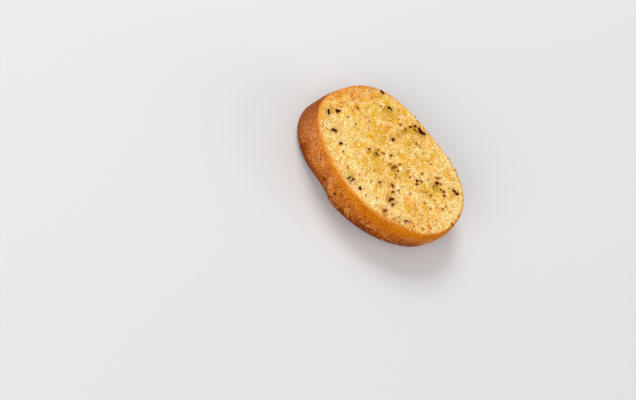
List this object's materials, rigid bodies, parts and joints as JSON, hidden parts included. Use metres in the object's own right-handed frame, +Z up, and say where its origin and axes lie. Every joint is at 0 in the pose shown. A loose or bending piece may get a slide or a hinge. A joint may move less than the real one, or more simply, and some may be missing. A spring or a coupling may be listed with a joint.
{
  "type": "garlic bread slice",
  "caption": "Thick oval slice of toasted garlic bread lying flat, with a buttered, herb-flecked face up and a rounded brown crust.",
  "frame": {"origin": "bottom centre of the slice's box, on its flat underside", "axes": "+X along the slice's long side, +Y across it, +Z up through the buttered face"},
  "size_m": [0.1124, 0.0788, 0.0253],
  "materials": {
    "crumb": "toasted, garlic-buttered crumb",
    "crust": "baked golden brown crust, a little shiny",
    "herb": "dried herb flakes, dull"
  },
  "bodies": {
    "root": {"garlic_bread_slice": "crumb"}
  },
  "joints": []
}
